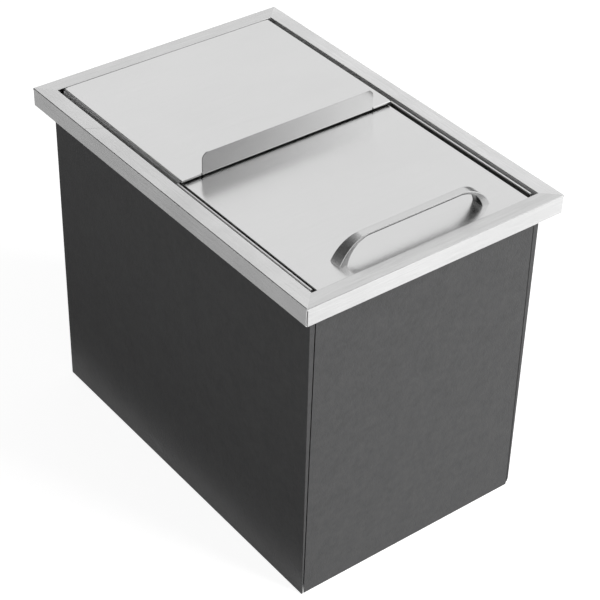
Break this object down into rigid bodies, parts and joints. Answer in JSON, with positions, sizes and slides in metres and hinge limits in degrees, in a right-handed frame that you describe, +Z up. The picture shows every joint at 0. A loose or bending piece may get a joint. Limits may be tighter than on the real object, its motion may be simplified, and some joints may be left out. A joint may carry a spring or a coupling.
{
  "type": "drop-in ice bin",
  "caption": "Stainless steel drop-in ice bin with a foam jacket, a lift-out rear lid and a sliding front lid with a handle.",
  "frame": {"origin": "on the ground plane under the middle of the bin", "axes": "+Z up, +Y to the rear (away from the sliding lid's handle), +X to the right seen from the handle's end"},
  "size_m": [0.3048, 0.4572, 0.3909],
  "materials": {
    "rim_steel": "satin",
    "tub_steel": "satin",
    "lid_steel": "satin",
    "rail_steel": "satin",
    "handle_steel": "satin",
    "screw_steel": "satin",
    "drain_steel": "satin",
    "foam": "matte",
    "gasket_rubber": "matte"
  },
  "bodies": {
    "bin": {"rim_frame": "rim_steel", "inner_tub": "tub_steel", "foam_panel_left": "foam", "foam_panel_right": "foam", "foam_panel_front": "foam", "foam_panel_rear": "foam", "foam_panel_bottom": "foam", "lid_rail_left": "rail_steel", "lid_rail_right": "rail_steel", "drain_body": "drain_steel", "drain_cross_bar": "drain_steel", "drain_strainer": "drain_steel", "strainer_screw": "screw_steel", "drain_gasket": "gasket_rubber", "drain_washer": "drain_steel", "drain_locknut": "drain_steel"},
    "front_lid": {"front_lid": "lid_steel", "lid_handle": "handle_steel", "handle_screws": "screw_steel"},
    "rear_lid": {"rear_lid": "lid_steel"}
  },
  "joints": [
    {"name": "front_lid_slide", "type": "slide", "parent": "bin", "child": "front_lid", "axis": [0, 1, 0], "range_m": [0, 0.1765]},
    {"name": "rear_lid_lift", "type": "slide", "parent": "bin", "child": "rear_lid", "axis": [0, 0, 1], "range_m": [0, 0.15]}
  ]
}
